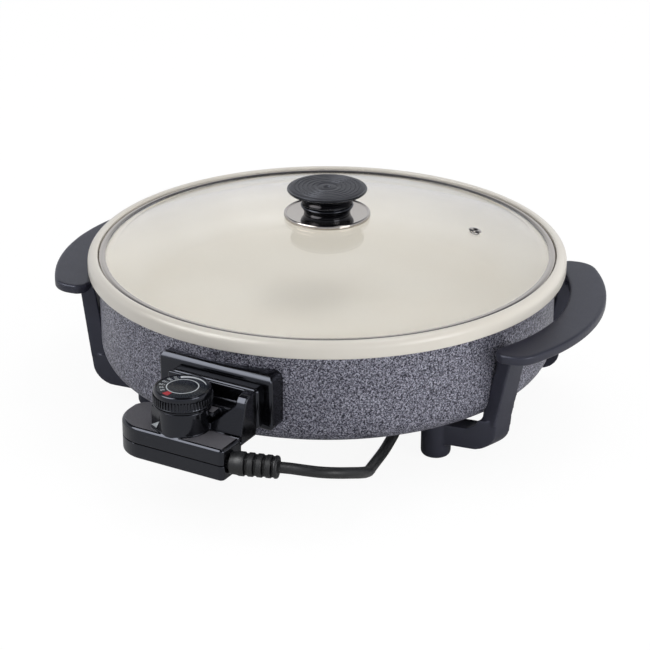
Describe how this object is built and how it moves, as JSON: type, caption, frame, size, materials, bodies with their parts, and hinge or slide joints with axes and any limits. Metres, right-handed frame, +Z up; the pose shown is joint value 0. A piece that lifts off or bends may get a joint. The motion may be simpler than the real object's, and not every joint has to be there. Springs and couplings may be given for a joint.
{
  "type": "electric skillet",
  "caption": "Round electric skillet: cream-coated pan in a dark hammered shell, glass lid with steam vent and knob, crescent handles that run down into legs, plug-in dial control.",
  "frame": {"origin": "middle of the footprint on the table, under the pan and its fitted control, without the cord", "axes": "+Z up; +X through the right-hand side, 7 to 9 degrees off the lines through the middles of the handles; -Y the way the control pulls out of its socket"},
  "size_m": [0.4229, 0.5241, 0.1662],
  "materials": {
    "cream_ceramic_coat": "satin",
    "hammered_grey_paint": "hammered",
    "element_sheath": "oxidised",
    "white_ceramic": "glazed",
    "terminal_steel": "bright",
    "reflector_sheet": "mill",
    "screw_steel": "plated",
    "glossy_phenolic": "gloss",
    "dark_grey_phenolic": "satin",
    "tempered_glass": "polished",
    "stainless_steel": "polished",
    "matte_black_phenolic": "matte",
    "brass": "machined",
    "silicone_rubber": "matte",
    "bimetal": "rolled",
    "navy_print": "printed",
    "black_pvc": "satin"
  },
  "bodies": {
    "skillet": {"pan": "cream_ceramic_coat", "outer_shell": "hammered_grey_paint", "heating_element": "element_sheath", "terminal_insulators": "white_ceramic", "terminal_pins": "terminal_steel", "heat_reflector": "reflector_sheet", "reflector_screws": "screw_steel", "socket_shroud": "glossy_phenolic", "shroud_screws": "screw_steel", "right_handle": "dark_grey_phenolic", "left_handle": "dark_grey_phenolic", "handle_screws": "screw_steel"},
    "lid": {"lid_glass": "tempered_glass", "lid_band": "stainless_steel", "vent_eyelet": "stainless_steel", "knob_plate": "stainless_steel", "knob_collar": "glossy_phenolic", "knob_body": "glossy_phenolic", "knob_cap": "matte_black_phenolic", "knob_insert": "brass", "lid_gasket": "silicone_rubber", "lid_washer": "screw_steel", "knob_screw": "screw_steel"},
    "control": {"control_upper": "glossy_phenolic", "control_lower": "glossy_phenolic", "housing_screws": "screw_steel", "heat_probe": "terminal_steel", "contact_sleeves": "brass", "thermostat_frame": "terminal_steel", "bimetal_strip": "bimetal", "contact_blade": "bimetal", "cord_clamp": "silicone_rubber", "strain_relief": "black_pvc", "cord_lead": "black_pvc", "cord_coil": "black_pvc", "cord_tail": "black_pvc", "cord_tie": "black_pvc", "plug_body": "black_pvc", "plug_pins": "terminal_steel"},
    "dial": {"dial_knob": "glossy_phenolic", "dial_disc": "navy_print", "dial_spindle": "terminal_steel"}
  },
  "joints": [
    {"name": "lid_lift", "type": "slide", "parent": "skillet", "child": "lid", "axis": [0, 0, 1], "range_m": [0, 0.06]},
    {"name": "control_pull", "type": "slide", "parent": "skillet", "child": "control", "axis": [0, -1, 0], "range_m": [0, 0.065]},
    {"name": "dial_turn", "type": "hinge", "parent": "control", "child": "dial", "pos_m": [0.006, -0.18485, 0.075], "axis": [0, 0, 1], "range_deg": [-28, 232]}
  ]
}
